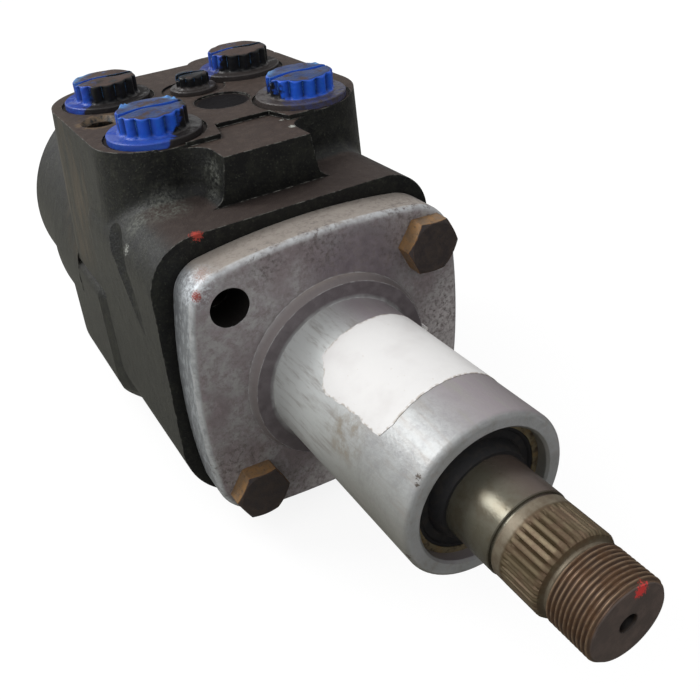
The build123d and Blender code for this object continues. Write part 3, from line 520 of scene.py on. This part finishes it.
def black_painted_iron():
    """Iron cast in sand and painted black: a worn gloss over a fine grain, brown dust where it faces up,
    light grey on the fillets that is partly scuffing and partly a painted highlight, bare bright edges, and
    rust that has run down one corner. Painted shade darkens the creases and the shallow recess on the port
    face, and walls that face right get lighter blue-grey patches as a painted reflection."""
    material, tree, shader, place = new_finish("black_painted_cast_iron", IOR=1.45)
    rounded, worn = edge_wear(tree, 0.5, 0.75, 0.97)
    grain = patches(tree, place, 0.7, 0.25, 0.75, detail=5.0, rough=0.65)
    waves = patches(tree, place, 5.0, 0.2, 0.8)
    up = facing(tree, (0, 0, 1), 0.80, 0.98)
    top = all_of(tree, up, along(tree, place, (0, 0, 1), 57.5, 59.0))
    # Painted shade: the shallow recess in the port face is painted black, clear of the dust round it
    dimple_shade = all_of(tree, up, within(tree, place, (2.8, 65.0, 59.4), 10.0, 0.7))
    mottle = patches(tree, place, 2.4, 0.44, 0.68, detail=6.0, rough=0.65)
    speckle = patches(tree, place, 0.7, 0.58, 0.70, detail=4.0, rough=0.6)
    streak = all_of(
        tree, along(tree, place, (-1, 0, 0), 33.0, 39.0),
        within(tree, place, (-42.0, 92.0, 36.0), 34.0, 0.5),
        patches(tree, place, 3.4, 0.38, 0.66, (1, 1, 0.16), detail=5.0, rough=0.6),
    )
    # Light grey on the fillets where their highlight falls, partly scuffing and partly a painted highlight;
    # the last spot is the chipped foot corner
    scuff_and_highlight_places = (
        (-31.0, 31.0, 46.0, 9.0), (-38.5, 34.0, 43.0, 7.0), (-17.2, 28.8, 52.5, 6.0),
        (-17.4, 28.0, 47.0, 4.0), (-47.0, 25.0, 38.5, 4.5),
    )
    scuffs_and_highlight = zones(tree, place, scuff_and_highlight_places, 0.2)
    rubbed_and_highlight = all_of(tree, scuffs_and_highlight, patches(tree, place, 0.9, 0.40, 0.66, detail=6.0, rough=0.7))
    chipped = all_of(tree, worn, patches(tree, place, 2.0, 0.44, 0.60, detail=5.0, rough=0.6))
    # Painted shade: corners and grooves found by ambient occlusion are painted near black, with dimmed
    # reflections
    crease_shade = creases(tree, 9.0)
    tapping = within(tree, place, (-33.3, 73.4, 59.6), 8.0, 0.8)
    mouth = all_of(tree, tapping, patches(tree, place, 1.6, 0.40, 0.6, detail=5.0))
    blotches = patches(tree, place, 3.0, 0.46, 0.66, detail=6.0, rough=0.7)
    chip_places = (
        (10.5, 42.8, 59.2, 1.3), (8.8, 38.0, 58.8, 0.9), (8.6, 31.0, 58.8, 1.5),
        (-45.0, 31.5, 38.0, 2.6), (-44.5, 29.0, 40.0, 2.0),
    )
    chips = any_of(tree, *[near(tree, place, spot[:3], spot[3], 0.35) for spot in chip_places])
    colour = coats(
        tree, "#101112",
        (patches(tree, place, 8.0, 0.35, 0.7), "#191a18"),
        (all_of(tree, blotches, ramp(tree, up, 1.0, 0.0)), "#22231e"),
        (speckle, "#34362e"),
        (patches(tree, place, 0.45, 0.64, 0.72, shift=5.0, detail=3.0), "#3f423a"),
        (up, "#38302d"),
        (all_of(tree, up, mottle), "#3f3733"),
        # Painted reflection: walls that face right get lighter blue-grey patches
        (all_of(tree, facing(tree, (1, 0, 0), 0.5, 0.9), mottle), "#2b2f38"),
        (top, "#3a302b"),
        (all_of(tree, top, mottle), "#453a34"),
        # painted shade in the shallow recess
        (dimple_shade, "#100e10"),
        (mouth, "#5a4a38"),
        (streak, "#3c3327"),
        # light grey on the fillets: partly scuffing, partly a painted highlight
        (rubbed_and_highlight, "#5c5e58"),
        # painted shade in the creases
        (crease_shade, "#0c0b0b"),
        (chipped, "#82827c"),
        (chips, "#989a94"),
        (near(tree, place, (-30.6, 11.8, 45.3), 2.4, 0.4), "#9c3a30"),
    )
    dull = ramp(tree, any_of(tree, up, rubbed_and_highlight), 0.40, 0.66)
    dust_and_shade = any_of(tree, all_of(tree, up, ramp(tree, dimple_shade, 0.6, 1.0)), ramp(tree, crease_shade, 0.0, 0.9))
    wire(tree, shader, Base_Color=colour, Roughness=dull, Specular_IOR_Level=ramp(tree, dust_and_shade, 0.42, 0.08))
    relief(tree, shader, (waves, 0.14), (grain, 0.08), normal=rounded)
    return material


def cast_aluminium():
    """Aluminium cast and partly machined, long in the open: a dull oxide with purple-brown stains, dark pits
    in clusters, bright worn edges, and a smoother turned tube with fine scratches. Light and shade are
    painted
    too: painted shade on the front above right of the tube, round the raised ring, under the tube and in the
    open hole; painted light on the front's lower right and the tube's rear upper left; a blue-grey painted
    sheen on the left wall; and the outer edge's pale band is partly wear, partly a painted highlight."""
    material, tree, shader, place = new_finish("cast_aluminium")
    rounded, worn = edge_wear(tree, 0.45, 0.72, 0.97)
    radius = off_axis(tree, place)
    turned = all_of(tree, rise(tree, radius, 23.0, 22.0, "LINEAR"), along(tree, place, (0, -1, 0), 2.0, 4.0))
    front = facing(tree, (0, -1, 0), 0.85, 0.98)
    upward = facing(tree, (0, 0, 1), 0.75, 0.95)
    outer = rise(tree, radius, 29.0, 31.0, "LINEAR")
    mottle = patches(tree, place, 3.2, 0.40, 0.66, detail=7.0, rough=0.68)
    salt = patches(tree, place, 0.9, 0.40, 0.64, shift=13.0, detail=6.0, rough=0.7)
    clouds = patches(tree, place, 11.0, 0.42, 0.64, shift=31.0, detail=4.0)
    fine = patches(tree, place, 1.5, 0.49, 0.64, detail=7.0, rough=0.74)
    pit_places = (
        (-33, 0, -22, 20), (24, 0, 33, 20), (-2, 0, 38, 13),
        (37, 0, 6, 18), (-20, 0, -36, 18), (-18, 0, 38, 9),
    )
    pits = all_of(tree, zones(tree, place, pit_places, 0.2), fine)
    # Painted sheen: the outer wall facing left is painted blue-grey; its pale and dark flecks are salt and
    # pits
    left_wall = all_of(tree, outer, facing(tree, (-1, 0, 0), 0.35, 0.85))
    pocked = patches(tree, place, 1.1, 0.60, 0.68, shift=3.0, detail=6.0, rough=0.7)
    salty = patches(tree, place, 1.3, 0.46, 0.62, (1, 1, 0.4), detail=6.0, rough=0.7)
    not_flat = ramp(tree, facing(tree, (0, -1, 0), 0.70, 0.93), 1.0, 0.0)
    # Pale band on the outer edge: partly wear, partly a painted highlight
    bevel = all_of(tree, outer, facing(tree, (0, -1, 0), 0.15, 0.40), not_flat)
    # Painted light: the front's lower right, which lies in shade, is painted paler
    painted_light_low_right = along(tree, place, (0.7, 0, -0.7), 8.0, 26.0)
    # Painted shade: the raised ring round the tube is painted darker, most of all on its front
    ring_step_shade = all_of(tree, rise(tree, radius, 28.4, 27.0), rise(tree, radius, 21.9, 22.2, "LINEAR"))
    # Painted light: the rear of the tube's upper left, next to the flange, is painted paler
    lit_tube_rear = along(tree, place, (0, 1, 0), -48.0, -14.0)
    scratches = patches(tree, place, 1.6, 0.46, 0.72, (1, 0.12, 1), detail=7.0, rough=0.7)
    hole_place = {0: place, 1: (-bolt_offset, 0, bolt_offset)}
    from_hole = add(tree, "VectorMath", hole_place, operation="SUBTRACT").outputs[0]
    # Painted shade: the walls of the open bolt hole are painted near black
    hole_wall_shade = rise(tree, off_axis(tree, from_hole), hole_r + 0.5, hole_r + 0.3, "LINEAR")
    nicks = [
        near(tree, place, point, reach, 0.5)
        for point, reach in (
            ((-16.9, -60.6, 13.6), 1.1), ((-17.8, -61.2, 12.2), 0.8), ((-20.3, -61.2, -6.6), 1.1),
        )
    ]
    colour = coats(
        tree, "#a5a3a3",
        (mottle, "#949193"),
        (all_of(tree, front, mottle), "#877f82"),
        (all_of(tree, front, clouds), "#877d80"),
        # Painted shade: the front above right of the tube is painted darker purple-grey
        (all_of(tree, front, within(tree, place, (8.0, 0, 27.0), 20.0)), "#7b7278"),
        # painted light on the front's lower right
        (all_of(tree, front, painted_light_low_right, ramp(tree, mottle, 1.0, 0.6)), "#cdc8c8"),
        (all_of(tree, front, salt, ramp(tree, mottle, 0.25, 1.0)), "#766d6c"),
        (upward, "#a29a92"),
        # painted sheen on the left-facing wall
        (left_wall, "#85888b"),
        (all_of(tree, left_wall, salty), "#adb1b5"),
        (all_of(tree, left_wall, pocked), "#57524f"),
        # outer edge band: partly wear, partly a painted highlight
        (all_of(tree, bevel, ramp(tree, mottle, 1.0, 0.3)), "#bdbfc1"),
        (all_of(tree, within(tree, place, (-38.0, 3.0, 38.0), 10.0), salt), "#cfd4d8"),
        (all_of(tree, upward, mottle, salt), "#857c76"),
        # painted shade on the raised ring
        (ring_step_shade, "#7f7878"),
        (all_of(tree, ring_step_shade, front), "#6a6366"),
        (turned, "#acaeae"),
        (all_of(tree, turned, mottle), "#9d9e9f"),
        (all_of(tree, turned, facing(tree, (0.5, 0, 0.86), 0.5, 0.98)), "#9b9397"),
        # Painted shade: the tube's lower left is painted darker
        (all_of(tree, turned, facing(tree, (-0.5, 0, -0.86), 0.0, 0.8)), "#8e8d86"),
        # painted light on the tube's rear upper left
        (all_of(tree, turned, lit_tube_rear, facing(tree, (-0.9, 0, 0.45), 0.3, 0.9)), "#c9cccb"),
        (all_of(tree, turned, scratches), "#9d9a97"),
        (all_of(tree, within(tree, place, (-19.5, -36.0, 9.0), 9.0), mottle), "#989186"),
        (pits, "#655d5b"),
        # painted shade inside the open bolt hole
        (all_of(tree, hole_wall_shade, ramp(tree, front, 1.0, 0.0)), "#242120"),
        (all_of(tree, worn, patches(tree, place, 2.0, 0.36, 0.6)), "#cacbcc"),
        (near(tree, place, (-37.4, 0.2, 35.2), 2.2, 0.3), "#9a4a42"),
        (near(tree, place, (-35.0, 4.0, 41.0), 5.0, 0.3), "#96807a"),
        *[(nick, "#5a534d") for nick in nicks],
    )
    bare = ramp(tree, any_of(tree, pits, all_of(tree, front, mottle)), 0.5, 0.15)
    wire(tree, shader, Base_Color=colour, Metallic=bare, Roughness=ramp(tree, turned, 0.55, 0.42))
    cast = ramp(tree, turned, 1.0, 0.25)
    relief(
        tree, shader,
        (all_of(tree, cast, patches(tree, place, 6.0, 0.2, 0.8)), 0.14),
        (patches(tree, place, 1.0, 0.3, 0.7, detail=5.0, rough=0.65), 0.03),
        (pits, -0.08),
        normal=rounded,
    )
    return material


def rusty_bolt_steel():
    """Steel bolts forged and left plain: dark oily tops, and brown rust on the flats and the bevels."""
    material, tree, shader, place = new_finish("rusty_bolt_steel", Metallic=0.4)
    rounded, worn = edge_wear(tree, 0.5, 0.75, 0.98)
    top = facing(tree, (0, -1, 0), 0.3, 0.6)
    rust = patches(tree, place, 2.6, 0.36, 0.66, detail=7.0, rough=0.66)
    colour = coats(
        tree, "#75604a",
        (rust, "#8c6b46"),
        (patches(tree, place, 1.0, 0.55, 0.7, detail=5.0, rough=0.6), "#5d4c3b"),
        (top, "#3c3636"),
        (all_of(tree, top, rust), "#493f3a"),
        (all_of(tree, worn, patches(tree, place, 1.6, 0.36, 0.6)), "#a5713d"),
    )
    wire(tree, shader, Base_Color=colour, Roughness=ramp(tree, rust, 0.42, 0.62))
    relief(tree, shader, (rust, 0.06), (patches(tree, place, 0.5, 0.3, 0.7), 0.02), normal=rounded)
    return material


def shaft_steel():
    """Steel turned and ground: a dull oiled land with a narrow shine, brown rust in the serrations and thread
    with lighter crests, a dark sawn end with painted shade in its centre hole, and a dab of red paint."""
    material, tree, shader, place = new_finish("ground_shaft_steel")
    crest = add(tree, "Attribute", attribute_name="crest").outputs["Fac"]
    high = rise(tree, crest, 0.45, 0.95)
    tip = along(tree, place, (0, -1, 0), 75.4, 76.2)
    thread = along(tree, place, (0, -1, 0), 89.9, 90.6)
    behind_neck = along(tree, place, (0, 1, 0), -89.2, -88.2)
    serration = all_of(tree, along(tree, place, (0, -1, 0), 78.0, 78.8), behind_neck)
    end = along(tree, place, (0, -1, 0), 100.6, 100.85)
    # Painted shade: the centre hole in the end is painted near black
    hole = rise(tree, off_axis(tree, place), 2.5, 2.0, "LINEAR")
    blotches = patches(tree, place, 3.0, 0.40, 0.66, detail=7.0, rough=0.65)
    dab = near(tree, place, (1.9, -100.8, 7.6), 2.2, 0.5, 0.15)
    colour = coats(
        tree, "#6c695d",
        (blotches, "#635d4f"),
        (facing(tree, (0.8, 0, 0.6), 0.2, 0.95), "#6b5e58"),
        (tip, "#7b7262"),
        (all_of(tree, tip, blotches), "#685c4c"),
        (serration, "#50442f"),
        (all_of(tree, serration, high), "#73664f"),
        (all_of(tree, serration, blotches), "#5e4c3a"),
        (thread, "#57463a"),
        (all_of(tree, thread, high), "#86705a"),
        (all_of(tree, thread, blotches), "#69503c"),
        (end, "#4f4540"),
        (all_of(tree, end, blotches), "#5d504a"),
        # painted shade inside the centre hole
        (all_of(tree, thread, hole), "#14100e"),
        (dab, "#d23a38"),
    )
    bare = all_of(tree, ramp(tree, tip, 0.7, 0.5), ramp(tree, any_of(tree, end, dab), 1.0, 0.2))
    wire(tree, shader, Base_Color=colour, Metallic=bare, Roughness=ramp(tree, tip, 0.27, 0.46))
    streaks = patches(tree, place, 0.5, 0.30, 0.70, (1, 0.15, 1))
    relief(tree, shader, (streaks, 0.004), (patches(tree, place, 0.5, 0.3, 0.7), 0.008))
    return material


def moulded_plug_plastic(name, centre, dirty_side, dirt, brown, ground, rim_dust):
    """Polyethylene moulded in blue: a waxy even colour, painted darker in the grooves and the slot as painted
    shade, under black oil on one side and brown dust on top, with pale torn edges that are partly a painted
    highlight. dirty_side is where the oil lies, dirt how far it comes over, brown how much of the top is
    dusty, and rim_dust how thickly the dust covers the rim."""
    material, tree, shader, place = new_finish(name, IOR=1.5)
    rounded, worn = edge_wear(tree, 0.3, 0.75, 0.98)
    groove_shade = add(tree, "Attribute", attribute_name="groove_shade").outputs["Fac"]
    torn = add(tree, "Attribute", attribute_name="torn").outputs["Fac"]
    own = add(tree, "VectorMath", {0: place, 1: (*centre, port_face)}, operation="SUBTRACT").outputs[0]
    splashes = {"Vector": place, "Scale": 1 / 3.0, "Detail": 5.0, "Roughness": 0.6}
    noise = add(tree, "TexNoise", splashes).outputs[0]
    ragged = maths(tree, "ADD", maths(tree, "MULTIPLY", noise, 9.0), dot(tree, own, dirty_side))
    oily = rise(tree, ragged, dirt + 4.0, dirt + 5.6)
    up = facing(tree, (0, 0, 1), 0.75, 0.98)
    head = along(tree, own, (0, 0, 1), 3.0, 3.6)
    rim = along(tree, own, (0, 0, -1), -1.9, -1.5)
    mottle = patches(tree, place, 1.5, 0.38, 0.66, detail=6.0, rough=0.65)
    dust = patches(tree, place, 3.4, 0.62 - brown, 0.80 - brown, shift=centre[0], detail=6.0, rough=0.6)
    dusty = all_of(tree, up, dust)
    colour = coats(
        tree, ground,
        (patches(tree, place, 1.8, 0.42, 0.7, detail=5.0, rough=0.6), "#1b55b8"),
        (all_of(tree, up, head), "#193366"),
        (all_of(tree, up, head, mottle), "#273552"),
        # painted shade in the grooves and the slot
        (ramp(tree, groove_shade, 0.0, 0.9), "#0c1f50"),
        (oily, "#101113"),
        (all_of(tree, dusty, head), "#463a36"),
        (ramp(tree, all_of(tree, rim, ramp(tree, mottle, 0.85, 1.0)), 0.0, rim_dust), "#3f3937"),
        # Pale torn edges and worn rims: partly torn plastic, partly a painted highlight
        (all_of(tree, any_of(tree, torn, worn), head, ramp(tree, mottle, 1.0, 0.35)), "#5f97cf"),
    )
    waxy = ramp(tree, any_of(tree, dusty, all_of(tree, up, head)), 0.32, 0.12)
    wire(tree, shader, Base_Color=colour, Roughness=ramp(tree, dusty, 0.36, 0.7), Specular_IOR_Level=waxy)
    dents, grain = patches(tree, place, 2.0, 0.3, 0.7), patches(tree, place, 0.6, 0.3, 0.7)
    relief(tree, shader, (dents, 0.08), (grain, 0.02), normal=rounded)
    return material


def sticker_paper():
    """Coated white paper with nothing printed on it: a little grey where rubbing has marked it, and dirty
    along its edges, most of all on the right."""
    material, tree, shader, place = new_finish("white_sticker_paper", Roughness=0.55, IOR=1.45)
    edge = add(tree, "Attribute", attribute_name="edge").outputs["Fac"]
    across = add(tree, "Attribute", attribute_name="across").outputs["Fac"]
    rim = rise(tree, edge, 0.7, 0.0)
    right = rise(tree, across, 0.80, 0.97)
    colour = coats(
        tree, "#d4d3d2",
        (patches(tree, place, 9.0, 0.40, 0.75), "#cbc9c8"),
        (patches(tree, place, 0.9, 0.68, 0.76), "#c9c5c0"),
        (all_of(tree, rim, patches(tree, place, 1.2, 0.40, 0.6)), "#a59c92"),
        (all_of(tree, right, patches(tree, place, 1.0, 0.48, 0.6)), "#b9a893"),
    )
    wire(tree, shader, Base_Color=colour)
    relief(tree, shader, (patches(tree, place, 3.0, 0.2, 0.8), 0.05))
    return material


def oiled_metal(name, clean, dark, roughness, grain, stretch=(1, 1, 1)):
    """A machined metal with an oil film: its clean colour, darker patches, and the fine marks of the tool."""
    material, tree, shader, place = new_finish(name, Metallic=1.0, Roughness=roughness)
    colour = coats(tree, clean, (patches(tree, place, 5.0, 0.35, 0.7), dark))
    wire(tree, shader, Base_Color=colour)
    relief(tree, shader, (patches(tree, place, grain, 0.3, 0.7, stretch), 0.008))
    return material


def black_rubber(name, colour, dust):
    """Nitrile rubber moulded black: dull, with a little dust."""
    material, tree, shader, place = new_finish(name, Roughness=0.62, IOR=1.5)
    mixed = coats(tree, colour, (patches(tree, place, 2.0, 0.45, 0.7), dust))
    wire(tree, shader, Base_Color=mixed)
    relief(tree, shader, (patches(tree, place, 0.8, 0.3, 0.7), 0.02))
    return material


def seal_case_steel():
    """Pressed steel with an olive coat: yellow-brown, rusted in patches."""
    material, tree, shader, place = new_finish("olive_coated_seal_case", Metallic=0.5, Roughness=0.5)
    colour = coats(
        tree, "#857a60",
        (patches(tree, place, 1.6, 0.46, 0.66, detail=6.0, rough=0.65), "#57493a"),
        (patches(tree, place, 2.6, 0.52, 0.66, shift=7.0, detail=5.0), "#8a7654"),
    )
    wire(tree, shader, Base_Color=colour)
    relief(tree, shader, (patches(tree, place, 0.9, 0.3, 0.7), 0.04))
    return material


def dress(finish, *names):
    """Gives a material to CAD nodes through their slots."""
    for name in names:
        for slot in nodes[name].material_slots:
            slot.material = finish


def dress_all(shaft, papers, plugs):
    """Gives every CAD node and every new piece its material."""
    dress(black_painted_iron(), "housing", "end_cap", "gerotor_ring", "wear_plate")
    dress(cast_aluminium(), "column")
    dress(rusty_bolt_steel(), "column_bolts")
    dress(oiled_metal("blackened_screw_steel", "#3d3a37", "#2b2927", 0.42, 0.6), "cap_screws", "cap_washers")
    dress(seal_case_steel(), "column_seal_case")
    rubber = black_rubber("black_seal_rubber", "#17171a", "#25211f")
    dress(rubber, "column_seal_lip", "neck_seal", "column_o_ring")
    dress(rubber, "housing_face_ring", "plate_face_ring", "cap_face_ring")
    valve = oiled_metal("ground_valve_steel", "#a7a6a2", "#8c8a84", 0.24, 0.5, (1, 6, 1))
    dress(valve, "valve_sleeve", "valve_spool", "cross_pin", "check_seat", "check_keeper")
    dress(valve, "gerotor_star", "drive_link", "drive_spacer")
    bearing = oiled_metal("polished_bearing_steel", "#bdbcb9", "#9d9b96", 0.18, 0.8)
    dress(bearing, "bearing_outer_race", "bearing_inner_race", "bearing_balls", "check_ball")
    dress(bearing, "thrust_race_front", "thrust_race_rear", "thrust_needles")
    brass = oiled_metal("stamped_cage_brass", "#a98a4d", "#8a6f3c", 0.35, 0.9)
    dress(brass, "bearing_cage", "neck_bushing")
    blued = oiled_metal("blued_spring_steel", "#5f6a7c", "#454d5c", 0.3, 0.6)
    dress(blued, "centering_springs", "shaft_snap_ring", "bearing_spacer")
    # Each plug: where its oil lies, how far it comes over, brown dust on top, its blue, dust on the rim
    dirt = {
        "plug_front_left": ((0.8, -0.1, -0.75), 0.6, 0.14, "#194bb6", 0.35),
        "plug_front_right": ((-0.95, 0.1, -0.5), 6.4, 0.12, "#1950c0", 1.0),
        "plug_back_left": ((0.7, -0.6, -0.35), -3.0, 0.30, "#1f3f9e", 0.3),
        "plug_back_right": ((0.7, -0.7, -0.6), -6.0, 0.30, "#27439c", 0.6),
        "pilot_plug": ((-0.5, -0.7, 0), -6.0, 0.16, "#23386f", 0.6),
    }
    for name, look in dirt.items():
        plastic = moulded_plug_plastic("moulded_" + name, plug_places[name], *look)
        plugs[name].data.materials.append(plastic)
    shaft.data.materials.append(shaft_steel())
    paper = sticker_paper()
    for piece in papers:
        piece.data.materials.append(paper)


# ---------- Studio ----------

floor_level = -46.6
light_side = (-0.45, 0.40, 0.80)
bright_floor_side = (-0.6, 0.8, 0)
camera_place = (-0.08995956, -0.16250833, 0.12957139)
camera_heading, camera_tilt, camera_roll = radians(24.563), radians(31.393), radians(-6.63)


def make_floor():
    """White table top. The camera sees it white with the object's shadow on it. Reflections and bounced
    light find it dark in front and paler behind on the left."""
    mesh = bpy.data.meshes.new("table_top")
    reach, level = 3.0, floor_level * MM
    corners = [(x * reach, y * reach, level) for x, y in ((-1, -1), (1, -1), (1, 1), (-1, 1))]
    mesh.from_pydata(corners, [], [(0, 1, 2, 3)])
    table = bpy.data.objects.new("table_top", mesh)
    bpy.context.scene.collection.objects.link(table)
    material = bpy.data.materials.new("white_table")
    material.use_nodes = True
    tree = material.node_tree
    tree.nodes.clear()
    place = add(tree, "TexCoord").outputs["Object"]
    pale = rise(tree, dot(tree, place, bright_floor_side), -0.20, 0.16)
    lit = add(tree, "BsdfDiffuse", {"Color": coats(tree, "#4a4846", (pale, "#8b8a82"))})
    seen = add(tree, "LightPath").outputs["Is Camera Ray"]
    white = add(tree, "Emission", {"Color": (1, 1, 1, 1), "Strength": 0.86})
    shaded = add(tree, "BsdfDiffuse", {"Color": linear("#6f6f6f")})
    paper = add(tree, "AddShader", {0: white.outputs[0], 1: shaded.outputs[0]})
    surface = add(tree, "MixShader", {0: seen, 1: lit.outputs[0], 2: paper.outputs[0]})
    add(tree, "OutputMaterial", {"Surface": surface.outputs[0]})
    mesh.materials.append(material)


def make_world():
    """The camera sees white. Reflections see a studio that is bright at the upper left and behind, and
    dimmer in front. The rest of the light is even."""
    world = bpy.data.worlds.new("white_studio")
    bpy.context.scene.world = world
    world.use_nodes = True
    tree = world.node_tree
    tree.nodes.clear()
    path = add(tree, "LightPath").outputs
    direction = add(tree, "TexCoord").outputs["Generated"]
    studio = ramp(tree, rise(tree, dot(tree, direction, light_side), -0.5, 0.9), 0.22, 0.80)
    mirrored = maths(tree, "MAXIMUM", path["Is Glossy Ray"], path["Is Transmission Ray"])
    around = add(tree, "Mix", {0: mirrored, 2: 0.98, 3: studio}, data_type="FLOAT").outputs[0]
    strength = add(tree, "Mix", {0: path["Is Camera Ray"], 2: around, 3: 1.0}, data_type="FLOAT").outputs[0]
    background = add(tree, "Background", {"Color": (1, 1, 1, 1), "Strength": strength})
    add(tree, "OutputWorld", {"Surface": background.outputs[0]})


def add_lamp(name, place, target, size, power, mirrored=True):
    """A square soft lamp that faces its target. Reflections show it unless mirrored is False."""
    lamp = bpy.data.lights.new(name, "AREA")
    lamp.size = size
    lamp.energy = power
    made = bpy.data.objects.new(name, lamp)
    made.location = place
    made.visible_glossy = mirrored
    made.rotation_euler = (Vector(target) - Vector(place)).to_track_quat("-Z", "Y").to_euler()
    bpy.context.scene.collection.objects.link(made)


def add_camera():
    """The photograph's own camera: place, direction, roll, lens and framing."""
    heading, tilt, roll = camera_heading, camera_tilt, camera_roll
    forward = Vector((sin(heading) * cos(tilt), cos(heading) * cos(tilt), -sin(tilt)))
    level_right = forward.cross(Vector((0, 0, 1))).normalized()
    level_up = level_right.cross(forward)
    right = cos(roll) * level_right + sin(roll) * level_up
    up = cos(roll) * level_up - sin(roll) * level_right
    lens = bpy.data.cameras.new("photo_camera")
    lens.sensor_fit = "HORIZONTAL"
    lens.sensor_width = 36.0
    lens.lens = 41.7164
    lens.shift_x = 0.0978531
    lens.shift_y = -0.0424793
    lens.clip_start = 0.01
    camera = bpy.data.objects.new("photo_camera", lens)
    turn = Matrix((right, up, -forward)).transposed().to_4x4()
    camera.matrix_world = Matrix.Translation(camera_place) @ turn
    bpy.context.scene.collection.objects.link(camera)
    bpy.context.scene.camera = camera


add_camera()
make_floor()
make_world()
add_lamp("soft_window", (-0.38, 0.37, 0.51), (0, -0.03, 0), 0.28, 2.1)
add_lamp("left_fill", (-0.60, -0.12, 0.51), (0, -0.02, 0), 0.5, 1.1, mirrored=False)
bpy.context.scene.view_settings.view_transform = "Standard"

dress_all(make_shaft(), (make_sticker(), make_scrap()), make_plugs())
